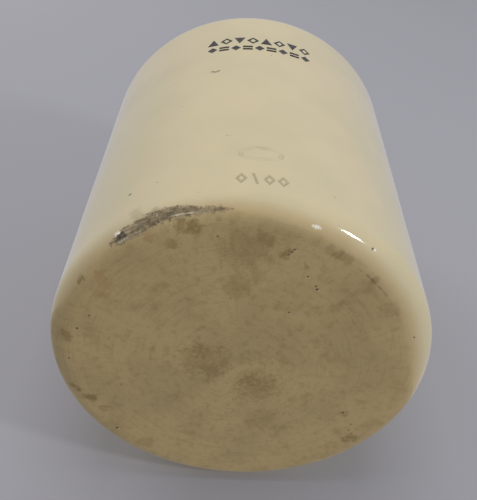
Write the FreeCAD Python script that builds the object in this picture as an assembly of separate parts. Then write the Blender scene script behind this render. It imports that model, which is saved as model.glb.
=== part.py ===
"""Stoneware ointment pot: a wide-mouthed cylindrical jar, its knobbed lid and the rubber ring between them.

Millimetres. +Z is up along the pot's axis, and the origin is the centre of the underside that it stands on.
Every piece is turned on a wheel or pressed in a round mould, so each is one outline revolved about Z.
"""

import FreeCAD, Part
import math
import os

# The pot's outside
BODY_RADIUS = 57.0
WALL_TOP = 130.0  # where the straight wall ends and the shoulder begins
HEEL_RADIUS = 7.0
SHOULDER_RADIUS = 12.0
SHOULDER_SLOPE = math.radians(12)  # how steeply the shoulder climbs on its way in to the neck
NECK_STEP = 14.0  # how far the neck stands in from the wall
NECK_COVE = 2.0
GROOVE_HEIGHT = 6.0  # the tie-down groove between the shoulder and the rolled rim
RIM_PROJECTION = 3.5
RIM_HEIGHT = 7.5
RIM_ROUNDING = 3.4
RIM_UNDER_ROUNDING = 2.5
RIM_COVE = 0.9

# The pot's inside
WALL_THICKNESS = 6.0
BASE_THICKNESS = 8.0
FLOOR_CORNER = 12.0
SHOULDER_THICKNESS = 6.0
INNER_SHOULDER_RADIUS = 6.0
THROAT_EDGE = 2.0
RIM_WALL = 5.5  # from the rim's outside to the gallery that the lid sits in
RIM_INNER_EDGE = 1.2
GALLERY_DEPTH = 6.5
GALLERY_CORNER = 0.8
LEDGE_WIDTH = 4.5
LEDGE_EDGE = 1.0

# The rubber ring, which lies on the ledge and grips the lid's spigot
RING_THICKNESS = 2.0
RING_TO_GALLERY = 0.2  # beyond the gallery's rounded corner
RING_TO_SPIGOT = 0.2  # beyond the rounded corner at the spigot's root
RING_EDGE = 0.5

# The lid
LID_TO_GALLERY = 0.8
LID_EDGE_THICKNESS = 5.0
LID_EDGE_ROUNDING = 1.8
LID_RISE = 3.5
LID_CROWN_RADIUS = 60.0  # the soft bend between the lid's sloping margin and its flatter middle
LID_MARGIN = 11.0  # width of that sloping margin
LID_THICKNESS = 5.5
SPIGOT_TO_THROAT = 1.3
SPIGOT_DEPTH = 7.0
SPIGOT_WALL = 5.0
SPIGOT_EDGE = 1.5
SPIGOT_COVE = 0.4
RECESS_CORNER = 2.5

# The lid's knob
KNOB_RADIUS = 13.0
KNOB_HEIGHT = 12.5
KNOB_HEAD_HEIGHT = 7.5
KNOB_CROWN = 1.2  # how much the head's middle stands above its edge
KNOB_TOP_ROUNDING = 4.2
KNOB_UNDER_ROUNDING = 2.6
KNOB_STEM_RADIUS = 8.5
KNOB_FOOT_COVE = 2.4

# How an outline's corners are rounded
FILLET_SHARE = 0.98  # how much of a side two arcs may take up between them
TINY = 1e-9

# Places that more than one piece uses
NECK_RADIUS = BODY_RADIUS - NECK_STEP
SHOULDER_CORNER = WALL_TOP + SHOULDER_RADIUS * math.tan((math.pi / 2 - SHOULDER_SLOPE) / 2)
NECK_FOOT = SHOULDER_CORNER + NECK_STEP * math.tan(SHOULDER_SLOPE)
RIM_BOTTOM = NECK_FOOT + GROOVE_HEIGHT
RIM_TOP = RIM_BOTTOM + RIM_HEIGHT
RIM_RADIUS = NECK_RADIUS + RIM_PROJECTION
GALLERY_RADIUS = RIM_RADIUS - RIM_WALL
LEDGE_Z = RIM_TOP - GALLERY_DEPTH
THROAT_RADIUS = GALLERY_RADIUS - LEDGE_WIDTH
LID_SEAT_Z = LEDGE_Z + RING_THICKNESS
LID_RADIUS = GALLERY_RADIUS - LID_TO_GALLERY
SPIGOT_RADIUS = THROAT_RADIUS - SPIGOT_TO_THROAT


def setbacks(points, roundings):
    """How far from each corner its arc begins for that radius, or less where two arcs would meet."""
    count = len(points)
    wanted = []
    for index, point in enumerate(points):
        back = points[index - 1] - point
        ahead = points[(index + 1) % count] - point
        wanted.append(roundings[index] / math.tan(back.getAngle(ahead) / 2))
    room = []
    for index, point in enumerate(points):
        before = points[index - 1].distanceToPoint(point) / max(wanted[index - 1] + wanted[index], TINY)
        following = (index + 1) % count
        after = points[following].distanceToPoint(point) / max(wanted[following] + wanted[index], TINY)
        room.append(min(1.0, FILLET_SHARE * before, FILLET_SHARE * after))
    return [distance * share for distance, share in zip(wanted, room)]


def corner_arc(before, corner, after, setback):
    """The arc that rounds a corner of an outline, beginning that far from it on both of its sides."""
    back = (before - corner).normalize()
    ahead = (after - corner).normalize()
    half_angle = back.getAngle(ahead) / 2
    to_centre = setback / math.cos(half_angle)
    radius = setback * math.tan(half_angle)
    middle = corner + (back + ahead).normalize() * (to_centre - radius)
    return Part.Arc(corner + back * setback, middle, corner + ahead * setback).toShape()


def turned(corners):
    """A solid of revolution about Z. Each corner of its half section is (radius, height, rounding)."""
    points = [FreeCAD.Vector(radius, 0, height) for radius, height, _ in corners]
    distances = setbacks(points, [rounding for _, _, rounding in corners])
    arcs = []
    for index, point in enumerate(points):
        after = points[(index + 1) % len(points)]
        sharp = distances[index] == 0
        arcs.append(None if sharp else corner_arc(points[index - 1], point, after, distances[index]))
    edges = [arc for arc in arcs if arc]
    for index, point in enumerate(points):
        following = (index + 1) % len(points)
        leave = arcs[index].Vertexes[-1].Point if arcs[index] else point
        arrive = arcs[following].Vertexes[0].Point if arcs[following] else points[following]
        edges.append(Part.makeLine(leave, arrive))
    outline = Part.Wire(Part.sortEdges(edges)[0])
    axis = FreeCAD.Vector(0, 0, 1)
    return Part.Face(outline).revolve(FreeCAD.Vector(0, 0, 0), axis, 360)


def pot_body():
    """The jar: flat base, straight wall, shoulder, tie-down groove, and a rim with a gallery inside."""
    inner_radius = BODY_RADIUS - WALL_THICKNESS
    shoulder_drop = SHOULDER_THICKNESS / math.cos(SHOULDER_SLOPE)
    throat_foot = NECK_FOOT + (NECK_RADIUS - THROAT_RADIUS) * math.tan(SHOULDER_SLOPE) - shoulder_drop
    inner_corner = SHOULDER_CORNER + WALL_THICKNESS * math.tan(SHOULDER_SLOPE) - shoulder_drop
    return turned(
        [
            (0, 0, 0),
            (BODY_RADIUS, 0, HEEL_RADIUS),
            (BODY_RADIUS, SHOULDER_CORNER, SHOULDER_RADIUS),
            (NECK_RADIUS, NECK_FOOT, NECK_COVE),
            (NECK_RADIUS, RIM_BOTTOM, RIM_COVE),
            (RIM_RADIUS, RIM_BOTTOM, RIM_UNDER_ROUNDING),
            (RIM_RADIUS, RIM_TOP, RIM_ROUNDING),
            (GALLERY_RADIUS, RIM_TOP, RIM_INNER_EDGE),
            (GALLERY_RADIUS, LEDGE_Z, GALLERY_CORNER),
            (THROAT_RADIUS, LEDGE_Z, LEDGE_EDGE),
            (THROAT_RADIUS, throat_foot, THROAT_EDGE),
            (inner_radius, inner_corner, INNER_SHOULDER_RADIUS),
            (inner_radius, BASE_THICKNESS, FLOOR_CORNER),
            (0, BASE_THICKNESS, 0),
        ]
    )


def sealing_ring():
    """A flat rubber ring between the pot's ledge and the lid, a little clear of the gallery and spigot."""
    outer = GALLERY_RADIUS - GALLERY_CORNER - RING_TO_GALLERY
    inner = SPIGOT_RADIUS + SPIGOT_COVE + RING_TO_SPIGOT
    return turned(
        [
            (inner, LEDGE_Z, RING_EDGE),
            (outer, LEDGE_Z, RING_EDGE),
            (outer, LID_SEAT_Z, RING_EDGE),
            (inner, LID_SEAT_Z, RING_EDGE),
        ]
    )


def lid():
    """A flanged lid with a hollow underside, a spigot that drops into the throat, and a turned knob."""
    edge_top = LID_SEAT_Z + LID_EDGE_THICKNESS
    crown_top = edge_top + LID_RISE
    spigot_foot = LID_SEAT_Z - SPIGOT_DEPTH
    recess_radius = SPIGOT_RADIUS - SPIGOT_WALL
    recess_ceiling = crown_top - LID_THICKNESS
    knob_top = crown_top + KNOB_HEIGHT
    head_foot = knob_top - KNOB_HEAD_HEIGHT
    return turned(
        [
            (0, knob_top, 0),
            (KNOB_RADIUS, knob_top - KNOB_CROWN, KNOB_TOP_ROUNDING),
            (KNOB_RADIUS, head_foot, KNOB_UNDER_ROUNDING),
            (KNOB_STEM_RADIUS, head_foot - KNOB_CROWN, KNOB_UNDER_ROUNDING),
            (KNOB_STEM_RADIUS, crown_top, KNOB_FOOT_COVE),
            (LID_RADIUS - LID_MARGIN, crown_top, LID_CROWN_RADIUS),
            (LID_RADIUS, edge_top, LID_EDGE_ROUNDING),
            (LID_RADIUS, LID_SEAT_Z, LID_EDGE_ROUNDING),
            (SPIGOT_RADIUS, LID_SEAT_Z, SPIGOT_COVE),
            (SPIGOT_RADIUS, spigot_foot, SPIGOT_EDGE),
            (recess_radius, spigot_foot, SPIGOT_EDGE),
            (recess_radius, recess_ceiling, RECESS_CORNER),
            (0, recess_ceiling, 0),
        ]
    )


def main():
    os.makedirs("parts", exist_ok=True)
    for name, make in {"pot_body": pot_body, "sealing_ring": sealing_ring, "lid": lid}.items():
        solid = make().Solids[0]
        solid.exportStep(f"parts/{name}.step")
        box = solid.BoundBox
        measures = f"{solid.Volume / 1000:.1f} cm3, z {box.ZMin:.2f} to {box.ZMax:.2f} mm"
        print(f"{name}: {'closed' if solid.isValid() else 'INVALID'}, {measures}")


main()
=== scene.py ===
"""Ointment pot: a cream-glazed stoneware jar, its knobbed lid and the rubber ring between them.

Lengths are in metres. +Z is up along the pot's axis, the origin is the centre of the underside, and the
marked side of the wall faces -Y. A place round the pot is an angle in degrees from -Y towards +X. Its run
is the distance in millimetres along the outside from the middle of the heel, below nought under the pot
and above nought up the wall.
"""

import math
from collections import namedtuple

import bmesh
import bpy
from mathutils import Color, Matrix, Quaternion, Vector, noise


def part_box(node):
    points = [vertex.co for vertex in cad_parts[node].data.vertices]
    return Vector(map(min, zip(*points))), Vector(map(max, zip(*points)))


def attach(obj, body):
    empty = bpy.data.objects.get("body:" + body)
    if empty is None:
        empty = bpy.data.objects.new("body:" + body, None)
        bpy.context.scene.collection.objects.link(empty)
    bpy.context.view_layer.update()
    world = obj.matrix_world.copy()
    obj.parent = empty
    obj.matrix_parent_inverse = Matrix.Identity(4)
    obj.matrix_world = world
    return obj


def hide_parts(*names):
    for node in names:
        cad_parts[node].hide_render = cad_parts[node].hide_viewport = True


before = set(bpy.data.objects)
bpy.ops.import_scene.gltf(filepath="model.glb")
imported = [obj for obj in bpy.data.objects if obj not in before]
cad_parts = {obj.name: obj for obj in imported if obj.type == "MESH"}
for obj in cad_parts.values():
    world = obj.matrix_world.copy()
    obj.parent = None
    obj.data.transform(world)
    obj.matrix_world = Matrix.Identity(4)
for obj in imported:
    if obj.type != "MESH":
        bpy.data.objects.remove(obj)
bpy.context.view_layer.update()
POT_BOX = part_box("pot_body")
RING_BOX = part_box("sealing_ring")
LID_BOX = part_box("lid")

bl_info = {
    "name": "Stoneware ointment pot",
    "version": (1, 0, 0),
    "blender": (4, 5, 0),
    "location": "View3D > Sidebar > Ointment Pot",
    "description": "Builds a glazed stoneware ointment pot with its lid, ring, finishes and stage",
    "category": "Add Mesh",
}

MM = 0.001
TOUCHING = MM * MM  # points nearer than this are one


# Kinds of setting in the sidebar


def size(label, millimetres, description):
    """A length."""
    return bpy.props.FloatProperty(
        name=label, description=description, default=millimetres * MM, unit="LENGTH", precision=5
    )


def angle(label, degrees, description):
    """An angle."""
    return bpy.props.FloatProperty(
        name=label, description=description, default=math.radians(degrees), subtype="ANGLE"
    )


def amount(label, default, description):
    """A plain number."""
    return bpy.props.FloatProperty(name=label, description=description, default=default, min=0.0)


def shade(label, red, green, blue, description):
    """A colour, written as it looks on a screen, from 0 to 255 for each part."""
    seen = Color((red / 255, green / 255, blue / 255))
    return bpy.props.FloatVectorProperty(
        name=label,
        description=description,
        default=tuple(seen.from_srgb_to_scene_linear()),
        subtype="COLOR",
        min=0.0,
        max=1.0,
    )


class PotSizes(bpy.types.PropertyGroup):
    """The jar's outline, outside and inside."""

    radius: size("Radius", POT_BOX[1].x / MM, "Outside radius of the straight wall")
    top: size("Rim top", POT_BOX[1].z / MM, "Height of the top of the rim")
    wall_top: size("Wall top", 130.0, "Height at which the straight wall ends")
    heel: size("Heel", 7.0, "Rounding between the base and the wall")
    shoulder: size("Shoulder", 12.0, "Rounding between the wall and the shoulder")
    slope: angle("Shoulder slope", 12.0, "How steeply the shoulder climbs to the neck")
    neck_step: size("Neck step", 14.0, "How far the neck stands in from the wall")
    rim_step: size("Rim step", 3.5, "How far the rolled rim stands out from the neck")
    rim_height: size("Rim height", 7.5, "Height of the rolled rim")
    rim_wall: size("Rim wall", 5.5, "From the rim's outside to the gallery")
    ledge: size("Ledge", 4.5, "Width of the ledge under the ring")
    wall: size("Wall thickness", 6.0, "Thickness of the wall and the shoulder")
    base: size("Base thickness", 8.0, "Thickness of the base")
    unevenness: size("Unevenness", 0.22, "How far the wall wanders from a true circle")


class LidSizes(bpy.types.PropertyGroup):
    """The lid's outline."""

    radius: size("Radius", LID_BOX[1].x / MM, "Outside radius of the flange")
    top: size("Knob top", LID_BOX[1].z / MM, "Height of the top of the knob")
    foot: size("Spigot foot", LID_BOX[0].z / MM, "Height of the underside of the spigot")
    seat: size("Seat", RING_BOX[1].z / MM, "Height of the face that rests on the ring")
    edge: size("Edge thickness", 5.0, "Thickness of the flange at its edge")
    rise: size("Rise", 3.5, "How much the middle stands above the edge")
    margin: size("Margin", 11.0, "Width of the sloping margin")
    thickness: size("Thickness", 5.5, "Thickness of the middle")
    spigot: size("Spigot radius", 35.2, "Outside radius of the spigot")
    spigot_wall: size("Spigot wall", 5.0, "Thickness of the spigot")
    knob: size("Knob radius", 13.0, "Radius of the knob's head")
    knob_head: size("Knob head", 7.5, "Height of the knob's head")
    knob_crown: size("Knob crown", 1.2, "How much the head's middle stands above its edge")
    stem: size("Knob stem", 8.5, "Radius of the knob's stem")


class MarkSizes(bpy.types.PropertyGroup):
    """The printed rows and the impressed marks on the wall."""

    print_angle: angle("Print centre", 3.5, "Where the middle of the printed rows is")
    upper_row: size("Upper row", 108.7, "Height of the middle of the upper printed row")
    upper_height: size("Upper height", 5.4, "Height of the upper row's marks")
    upper_pitch: size("Upper pitch", 4.9, "Distance from one mark of the upper row to the next")
    lower_row: size("Lower row", 101.9, "Height of the middle of the lower printed row")
    lower_height: size("Lower height", 4.4, "Height of the lower row's marks")
    lower_pitch: size("Lower pitch", 4.3, "Distance from one mark of the lower row to the next")
    oval_angle: angle("Oval", 4.0, "Where the middle of the oval stamp is")
    oval_height: size("Oval height", 25.9, "Height of the middle of the oval stamp")
    stroke_angle: angle("Strokes", 4.4, "Where the middle of the impressed strokes is")
    stroke_height: size("Strokes height", 12.8, "Height of the middle of the impressed strokes")


class FinishColours(bpy.types.PropertyGroup):
    """Colours of the glaze, the clay under it and what has settled on them."""

    glaze: shade("Glaze", 212, 198, 162, "Cream glaze on the wall")
    glaze_cool: shade("Cool glaze", 204, 193, 158, "Greyer patches in the glaze")
    glaze_thin: shade("Thin glaze", 200, 178, 134, "Glaze that has run thin over an edge")
    clay: shade("Clay", 183, 160, 113, "Bare stoneware")
    clay_grey: shade("Grey clay", 170, 149, 106, "Greyer patches of bare stoneware")
    clay_stained: shade("Stained clay", 138, 115, 69, "Stains on the bare stoneware")
    iron: shade("Iron", 160, 119, 77, "Rusty marks")
    crust: shade("Crust", 150, 132, 101, "Rough kiln crust on the heel")
    crust_dark: shade("Dark crust", 98, 86, 62, "Burnt parts of the crust")
    # Colours real breaks and the crust's pale streaks, and also the painted highlights beside the pits
    chip_and_glint: shade("Chip", 222, 211, 182, "Fresh breaks in the glaze")
    # Painted highlight: besides a few real breaks, this near-white stands in for glints on the heel
    flake_and_glint: shade("Bright flake", 250, 246, 234, "Newest breaks, which catch the light")
    pit: shade("Pit", 52, 42, 30, "Dirt in pits and pinholes")
    ink: shade("Ink", 26, 18, 21, "Printed marks under the glaze")
    rubber: shade("Rubber", 104, 58, 44, "Rubber of the ring")
    rubber_bloom: shade("Rubber bloom", 140, 104, 88, "Pale bloom on old rubber")


class StageSettings(bpy.types.PropertyGroup):
    """The camera, the lamps and the surfaces round the pot."""

    lens: bpy.props.FloatProperty(name="Lens", description="Focal length in millimetres", default=51.3)
    cloth: shade("Cloth", 166, 166, 175, "Plain surface that the pot lies against")
    around: shade("Around", 184, 184, 190, "What is seen beyond the floor and in the glaze")
    floor: shade("Floor", 200, 200, 205, "Plain pale floor")
    daylight: amount("Daylight", 0.45, "Strength of the light from all round")
    front: amount("Front", 2.7, "Power of the large soft lamp in front, in watts")
    side: amount("Side", 2.4, "Power of the large soft lamp above and to the left, in watts")
    back: amount("Back", 3.0, "Power of the soft lamp behind, in watts")
    window: amount("Window", 1.7, "Power of the small round lamp that glints on the heel, in watts")


# Turned shapes


COLUMNS = 240  # divisions round the axis
RUN_STEP = 1.6 * MM  # how finely a straight run is divided
ARC_STEP = 0.8 * MM  # how finely a rounding is divided
TIGHT = 2 * MM  # the largest rounding that counts as fully sharp
NEAR_ALL = 0.98  # how much of a side two roundings may take up between them

# How far inside the glaze a place lies, in millimetres: well inside it, and where the clay is left bare
GLAZED = 9.0
BARE = -4.0

# A corner of an outline, with its rounding, its place in the glaze and the step of the run that ends there
Corner = namedtuple("Corner", "radius height rounding glaze step", defaults=(0.0, GLAZED, RUN_STEP))


def setbacks(points, roundings):
    """How far from each corner its arc begins for that radius, or less where two arcs would meet."""
    count = len(points)
    wanted = []
    for index, point in enumerate(points):
        back = points[index - 1] - point
        ahead = points[(index + 1) % count] - point
        wanted.append(roundings[index] / math.tan(back.angle(ahead) / 2))
    shares = []
    for index, point in enumerate(points):
        following = (index + 1) % count
        before = (points[index - 1] - point).length / max(wanted[index - 1] + wanted[index], TOUCHING)
        after = (points[following] - point).length / max(wanted[following] + wanted[index], TOUCHING)
        shares.append(min(1.0, NEAR_ALL * before, NEAR_ALL * after))
    return [distance * share for distance, share in zip(wanted, shares)]


def spin_corner(shell, tip, before, corner, after, setback):
    """Rounds a corner of an outline by spinning its last vertex about the arc's centre."""
    back = (before - corner).normalized()
    ahead = (after - corner).normalized()
    half = back.angle(ahead) / 2
    centre = corner + (back + ahead).normalized() * setback / math.cos(half)
    axis = (tip.co - centre).cross(corner - centre)
    radius = setback * math.tan(half)
    bend = shell.verts.layers.float["bend"]
    tip[bend] = -math.copysign(min(1.0, TIGHT / radius), axis.y)
    sweep = math.pi - 2 * half
    spun = bmesh.ops.spin(
        shell,
        geom=[tip],
        cent=centre,
        axis=axis.normalized(),
        angle=sweep,
        steps=max(3, math.ceil(radius * sweep / ARC_STEP)),
        use_duplicate=False,
    )
    return next(item for item in spun["geom_last"] if isinstance(item, bmesh.types.BMVert))


def extrude_run(shell, tip, end, glaze, step):
    """Draws a straight run of an outline by extruding its last vertex in even steps."""
    glazed = shell.verts.layers.float["glaze"]
    bend = shell.verts.layers.float["bend"]
    start, start_glaze = tip.co.copy(), tip[glazed]
    steps = max(1, math.ceil((end - start).length / step))
    for number in range(1, steps + 1):
        share = number / steps
        tip = bmesh.ops.extrude_vert_indiv(shell, verts=[tip])["verts"][0]
        tip.co = start.lerp(end, share)
        tip[glazed] = start_glaze + (glaze - start_glaze) * share
        tip[bend] = 0.0
    return tip


def turned(corners):
    """A closed shell turned about Z. Its layers say where it is glazed and where its surface bends."""
    shell = bmesh.new()
    glazed = shell.verts.layers.float.new("glaze")
    shell.verts.layers.float.new("bend")
    points = [Vector((corner.radius, 0.0, corner.height)) for corner in corners]
    distances = setbacks(points, [corner.rounding for corner in corners])
    tip = shell.verts.new(points[0] + (points[1] - points[0]).normalized() * distances[0])
    tip[glazed] = corners[0].glaze
    solid_middle = corners[0].radius == 0
    for index in range(1, len(points) + (0 if solid_middle else 1)):
        here = index % len(points)
        before, corner = points[index - 1], points[here]
        after = points[(index + 1) % len(points)]
        arrive = corner + (before - corner).normalized() * distances[here]
        tip = extrude_run(shell, tip, arrive, corners[here].glaze, corners[here].step)
        if distances[here]:
            tip = spin_corner(shell, tip, before, corner, after, distances[here])
    bmesh.ops.remove_doubles(shell, verts=shell.verts[:], dist=TOUCHING)
    bmesh.ops.spin(
        shell,
        geom=shell.verts[:] + shell.edges[:],
        cent=(0, 0, 0),
        axis=(0, 0, 1),
        angle=math.tau,
        steps=COLUMNS,
        use_merge=True,
        use_duplicate=False,
    )
    bmesh.ops.remove_doubles(shell, verts=shell.verts[:], dist=TOUCHING)
    bmesh.ops.recalc_face_normals(shell, faces=shell.faces[:])
    return shell


def refine(shell, chosen, cuts):
    """Divides the faces whose middles are chosen, for detail that the turned mesh is too coarse for."""
    faces = [face for face in shell.faces if chosen(face.calc_center_median())]
    edges = {edge for face in faces for edge in face.edges}
    bmesh.ops.subdivide_edges(shell, edges=list(edges), cuts=cuts, use_grid_fill=True)


def finished(shell, name, body, node, material):
    """Makes an object of a shell, sets it under its body's empty and hides the frame's node, if one is
    given.
    """
    mesh = bpy.data.meshes.new(name)
    shell.to_mesh(mesh)
    shell.free()
    mesh.shade_smooth()
    mesh.materials.append(material)
    piece = bpy.data.objects.new(name, mesh)
    bpy.context.scene.collection.objects.link(piece)
    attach(piece, body)
    if node:
        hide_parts(node)


# Places round the pot


def degrees_round(point):
    """The angle round the pot of a point."""
    return math.degrees(math.atan2(point.x, -point.y))


def run_of(point, pot):
    """How far along the outside a point is from the middle of the heel, in millimetres."""
    return (math.hypot(point.x, point.y) - pot.radius + point.z) / MM


def read_off(places, at):
    """The value at one place, from a few places in rising order and straight lines between them."""
    names = list(places)
    if at <= names[0]:
        return places[names[0]]
    for low, high in zip(names, names[1:]):
        if at <= high:
            share = (at - low) / (high - low)
            return places[low] + (places[high] - places[low]) * share
    return places[names[-1]]


def within(value, ends):
    """Whether a value lies between two ends."""
    return ends[0] < value < ends[1]


def eased(value, low, high):
    """0 below low, 1 above high, and a smooth rise between them."""
    share = min(1.0, max(0.0, (value - low) / (high - low)))
    return share * share * (3 - 2 * share)


# The run at which the glaze starts, by the angle round the pot
GLAZE_LINE = {
    -180: 0.2, -150: 0.6, -120: 2.2, -105: 3.8, -90: 5.4, -82: 5.6, -75: 3.2, -68: -0.6, -60: -2.3,
    -20: -1.9, -1: -1.4, 16: -4.0, 50: -7.4, 75: -7.9, 86: -7.2, 95: -4.8, 103: -0.4, 109: 2.6,
    120: 2.2, 135: 1.2, 150: 0.6, 180: 0.2,
}
# The kiln crust's upper and lower edges, and the chipped line in it, as runs by the angle round the pot
CRUST_TOP = {-39: 0.0, -37: 1.2, -34: 2.0, -30: 2.4, -25: 3.4, -18: 3.1, -12: 1.2, -7: 0.4, -3: -0.6}
CRUST_FOOT = {-39: -1.4, -36: -2.6, -33: -3.1, -27: -2.2, -23: -1.4, -12: -1.9, -3: -1.0}
CHIP_LINE = {-38: 1.3, -36: 1.6, -32: 1.3, -27: 0.9, -23: 0.2, -19: -0.4, -15: -0.6, -12: -1.3, -9: -1.3}
# How fully the glaze is chipped away along that line
CHIP_STRENGTH = {
    -38.5: 0.0, -37.5: 0.8, -35.6: 0.8, -34.5: 0.3, -28: 0.28, -26: 0.08, -21: 0.12, -18.5: 0.65,
    -15: 0.6, -12: 0.45, -8: 0.0,
}
# The angles between which there is any crust
CRUST_ENDS = (-40.0, -3.0)
# The angles and runs between which the wall has marks of any kind
MARKED_ANGLES = (-45, 35)
MARKED_RUNS = (-8, 33)

# Depths in millimetres: the crust and its lumps, a chip, a pit, the base's unevenness and a stroke
CRUST_DEPTH = 0.16
CRUST_LUMPS = 0.2
CHIP_DEPTH = 0.28
PIT_DEPTH = 0.4
BASE_UNEVENNESS = 0.07
STROKE_DEPTH = 0.38
FULL_STAMP = 0.3  # the depth at which a stamp is fully darkened

# Sizes of the patches in which the surface varies: slowly and quickly over the wall, in the crust, in the
# oval's depth and over the base
SLOW_PATCH = 34 * MM
QUICK_PATCH = 13 * MM
LUMP = 0.9 * MM
STAMP_PATCH = 3.1 * MM
BASE_PATCH = 9 * MM

# Pits in the base, by x and y in millimetres, with their widths
PITS = (
    (20.2, -30.2, 0.7), (19.8, -31.3, 0.55), (17.4, -34.6, 0.55), (13.3, -43.4, 0.5), (13.2, -21.5, 0.5),
    (-42.7, -17.8, 0.6), (-38.8, 31.0, 0.8), (49.2, -13.6, 0.5), (-46.7, -12.7, 0.65), (-50.5, -0.4, 0.6),
    (32.9, 19.7, 0.6), (35.5, 28.3, 0.5),
)


class Marks:
    """Shapes pressed into the wall: the distance in millimetres from a place to each shape's line."""

    FAR = 9.0  # no mark is looked for farther off than this
    OVAL = (6.2, 3.6)  # half the oval's width and height
    OVAL_GAP = 0.95  # between its two outlines
    LOZENGE = (1.2, 1.85)  # half a lozenge's width and height
    STROKE = (-0.55, 2.3)  # how far the stroke leans, and half its height
    PITCH = 3.75  # from one mark of the row to the next
    LEAST = 0.05  # keeps the oval's middle from dividing by nought

    @staticmethod
    def oval(across, up):
        """The distance to the nearer of the oval's two outlines."""
        nearest = Marks.FAR
        for gap in (0.0, Marks.OVAL_GAP):
            wide, tall = Marks.OVAL[0] - gap, Marks.OVAL[1] - gap
            reach = math.hypot(across / wide, up / tall)
            slope = math.hypot(across / wide**2, up / tall**2) / max(reach, Marks.LEAST)
            nearest = min(nearest, abs(reach - 1) / max(slope, Marks.LEAST))
        return nearest

    @staticmethod
    def strokes(across, up):
        """The distance to a row of three lozenge outlines with a slanted stroke second in it."""
        nearest = Marks.FAR
        wide, tall = Marks.LOZENGE
        for number in range(4):
            sideways = across - (number - 1.5) * Marks.PITCH
            if number == 1:
                slant, reach = Marks.STROKE
                gap = math.hypot(sideways - up / reach * slant, max(0.0, abs(up) - reach))
            else:
                gap = abs(abs(sideways) * tall + abs(up) * wide - wide * tall) / math.hypot(wide, tall)
            nearest = min(nearest, gap)
        return nearest


def unrolled(point, angle_at, height_at, pot):
    """Where a point on the wall is from a mark's middle, across and up, in millimetres."""
    across = (math.radians(degrees_round(point)) - angle_at) * pot.radius
    return across / MM, (point.z - height_at) / MM


# The jar


# Roundings of the jar's corners
NECK_COVE = 2 * MM
RIM_COVE = 0.9 * MM
RIM_UNDER = 2.5 * MM
RIM_OVER = 3.4 * MM
RIM_INNER_EDGE = 1.2 * MM
GALLERY_CORNER = 0.8 * MM
LEDGE_EDGE = 1 * MM
THROAT_EDGE = 2 * MM
INNER_SHOULDER = 6 * MM
FLOOR_CORNER = 12 * MM

# How finely the wall is divided where it is stamped, above that, and inside
STAMPED_TO = 33 * MM
STAMPED_STEP = 1.5 * MM
WALL_STEP = 3.2 * MM
THROAT_STEP = 2.5 * MM
INNER_STEP = 6 * MM
FLOOR_STEP = 4 * MM


def pot_corners(pot):
    """The jar's half section, from the middle of the underside round to the middle of the floor."""
    neck = pot.radius - pot.neck_step
    rim = neck + pot.rim_step
    gallery = rim - pot.rim_wall
    throat = gallery - pot.ledge
    inner = pot.radius - pot.wall
    tangent = math.tan(pot.slope)
    shoulder = pot.wall_top + pot.shoulder * math.tan((math.pi / 2 - pot.slope) / 2)
    neck_foot = shoulder + pot.neck_step * tangent
    drop = pot.wall / math.cos(pot.slope)
    throat_foot = neck_foot + (neck - throat) * tangent - drop
    inner_shoulder = shoulder + pot.wall * tangent - drop
    ledge = RING_BOX[0].z
    rim_foot = pot.top - pot.rim_height
    return [
        Corner(0, 0, glaze=-GLAZED),
        Corner(pot.radius, 0, pot.heel, glaze=0),
        Corner(pot.radius, STAMPED_TO, step=STAMPED_STEP),
        Corner(pot.radius, shoulder, pot.shoulder, step=WALL_STEP),
        Corner(neck, neck_foot, NECK_COVE),
        Corner(neck, rim_foot, RIM_COVE),
        Corner(rim, rim_foot, RIM_UNDER),
        Corner(rim, pot.top, RIM_OVER),
        Corner(gallery, pot.top, RIM_INNER_EDGE, glaze=5),
        Corner(gallery, ledge, GALLERY_CORNER, glaze=BARE),
        Corner(throat, ledge, LEDGE_EDGE, glaze=BARE),
        Corner(throat, throat_foot, THROAT_EDGE),
        Corner(inner, inner_shoulder, INNER_SHOULDER, step=THROAT_STEP),
        Corner(inner, pot.base, FLOOR_CORNER, step=INNER_STEP),
        Corner(0, pot.base, step=FLOOR_STEP),
    ]


def settle(shell, pot):
    """Moves the divided patches' new vertices out onto the turned surface."""
    middle = pot.radius - pot.heel
    for vert in shell.verts:
        across = math.hypot(vert.co.x, vert.co.y)
        on_wall = across > pot.radius - pot.wall / 2 and vert.co.z < pot.wall_top
        on_heel = across > middle and vert.co.z < pot.heel
        if not (on_wall or on_heel):
            continue
        height = vert.co.z
        if height < pot.heel:
            out = Vector((across - middle, height - pot.heel)).normalized() * pot.heel
            wanted, height = middle + out.x, pot.heel + out.y
        else:
            wanted = pot.radius
        vert.co = (vert.co.x * wanted / across, vert.co.y * wanted / across, height)


def crust_at(around, run):
    """How thick the kiln crust is at a place, from 0 to 1."""
    if not within(around, CRUST_ENDS):
        return 0.0
    ragged = noise.noise(Vector((around * 0.9, run * 1.2, 3.0)))
    fine = noise.noise(Vector((around * 3.1, run * 2.6, 7.0)))
    inside = min(read_off(CRUST_TOP, around) - run, run - read_off(CRUST_FOOT, around))
    holes = 0.7 * eased(noise.noise(Vector((around * 1.7, run * 1.9, 11.0))), 0.05, 0.4)
    return eased(inside + 1.1 * ragged + 0.7 * fine - holes, -0.7, 0.45)


def chip_at(around, run):
    """How far the glaze is chipped away at a place, from 0 to 1."""
    line = abs(run - read_off(CHIP_LINE, around))
    broken = noise.noise(Vector((around * 0.8, 5.0, run)))
    finely_broken = noise.noise(Vector((around * 2.9, 1.0, run)))
    width = 0.06 + 0.4 * broken + 0.25 * finely_broken
    return read_off(CHIP_STRENGTH, around) * (1 - eased(line, width, width + 0.25))


def wander(point, pot):
    """How far the thrown wall stands in from a true circle at a place, in millimetres."""
    slow, quick = noise.noise(point / SLOW_PATCH), noise.noise(point / QUICK_PATCH)
    return pot.unevenness / MM * (0.55 + 0.4 * slow + 0.2 * quick)


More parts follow.
